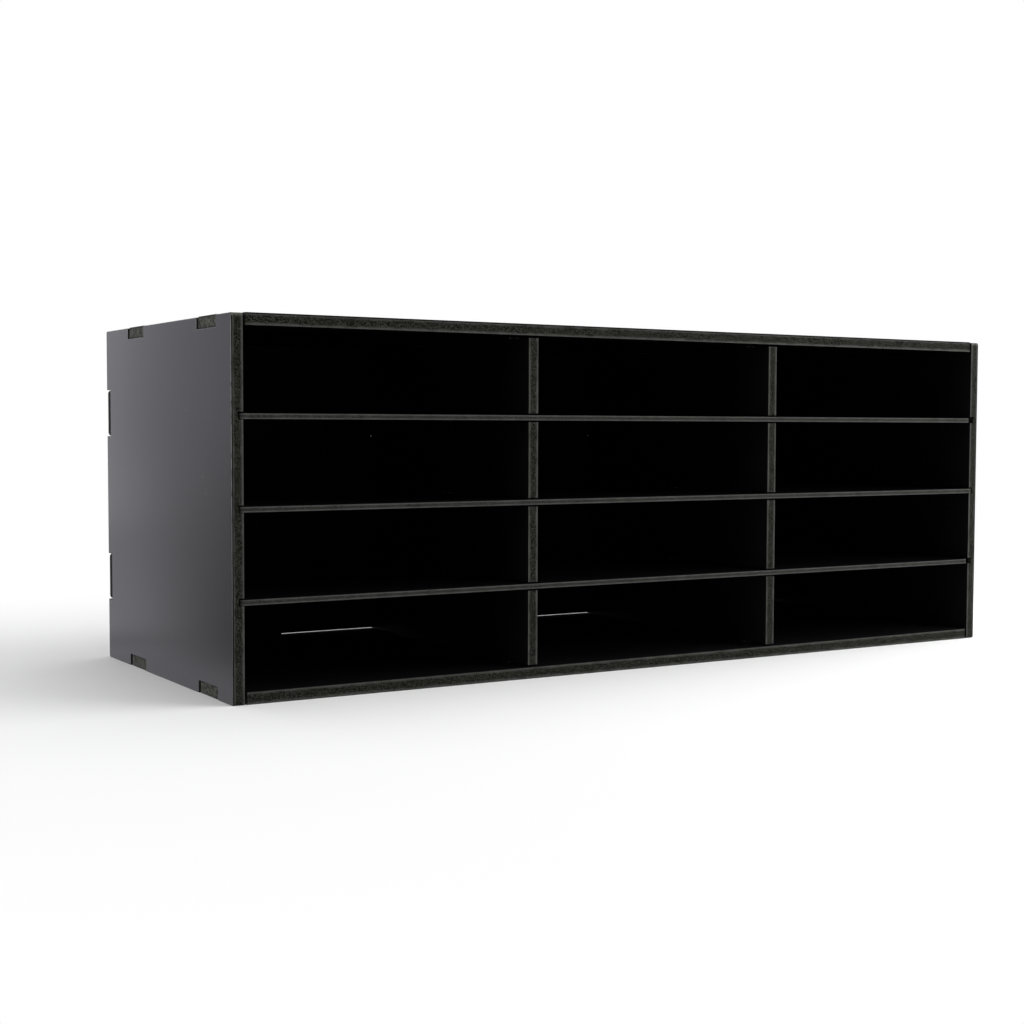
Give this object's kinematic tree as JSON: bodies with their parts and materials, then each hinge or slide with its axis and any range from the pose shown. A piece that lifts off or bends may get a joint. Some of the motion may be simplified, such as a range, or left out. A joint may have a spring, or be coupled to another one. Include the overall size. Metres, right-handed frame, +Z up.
{
  "type": "desktop document organizer",
  "caption": "Wide black flat-pack desktop organizer: tabbed boards around open paper bays, with slide-in shelves half-lapped over upright dividers.",
  "frame": {"origin": "middle of the footprint, on the surface that the case stands on", "axes": "+X along the width, +Z up, and the open front faces -Y"},
  "size_m": [0.8, 0.308, 0.3],
  "materials": {
    "case_board": "satin black skin over a foamed core, with sawn edges",
    "shelf_board": "satin black skin over a thin foamed core, with sawn edges",
    "black_screw": "black coated steel"
  },
  "bodies": {
    "case": {"left_side": "case_board", "right_side": "case_board", "top_board": "case_board", "bottom_board": "case_board", "back_board": "case_board", "left_divider": "case_board", "right_divider": "case_board", "top_screws": "black_screw", "bottom_screws": "black_screw", "back_screws": "black_screw"},
    "lower_shelf": {"lower_shelf": "shelf_board"},
    "middle_shelf": {"middle_shelf": "shelf_board"},
    "upper_shelf": {"upper_shelf": "shelf_board"}
  },
  "joints": [
    {"name": "lower_shelf_slide", "type": "slide", "parent": "case", "child": "lower_shelf", "axis": [0, -1, 0], "range_m": [0, 0.3]},
    {"name": "middle_shelf_slide", "type": "slide", "parent": "case", "child": "middle_shelf", "axis": [0, -1, 0], "range_m": [0, 0.3]},
    {"name": "upper_shelf_slide", "type": "slide", "parent": "case", "child": "upper_shelf", "axis": [0, -1, 0], "range_m": [0, 0.3]}
  ]
}
